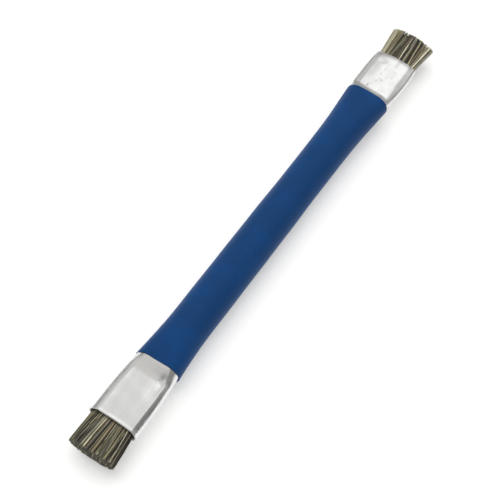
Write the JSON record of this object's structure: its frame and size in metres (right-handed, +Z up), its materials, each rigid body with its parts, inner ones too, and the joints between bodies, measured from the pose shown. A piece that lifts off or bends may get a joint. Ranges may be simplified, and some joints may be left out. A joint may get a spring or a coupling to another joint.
{
  "type": "double-ended cleaning brush",
  "caption": "Pen-sized bench brush: round aluminium tube pressed flat at both ends round stiff flat bristle tufts, with a shrunk blue plastic grip sleeve.",
  "frame": {"origin": "on the bench under the middle of the brush's overall length and width, as it lies flat on the underside of its sleeve", "axes": "+X along the brush towards its longer tuft, +Y across the flat ends, +Z up, square to the flat faces of both pressed ends"},
  "size_m": [0.1604, 0.0132, 0.0105],
  "materials": {
    "bare_aluminium": "bare mill aluminium, pressed and lightly scuffed",
    "blue_sleeve": "satin shrunk plastic",
    "mixed_bristle": "natural bristle of mixed black, brown, tan and cream",
    "setting_resin": "dark setting resin"
  },
  "bodies": {
    "root": {"handle_tube": "bare_aluminium", "grip_sleeve": "blue_sleeve", "near_bristles": "mixed_bristle", "far_bristles": "mixed_bristle", "near_resin_plug": "setting_resin", "far_resin_plug": "setting_resin"}
  },
  "joints": []
}
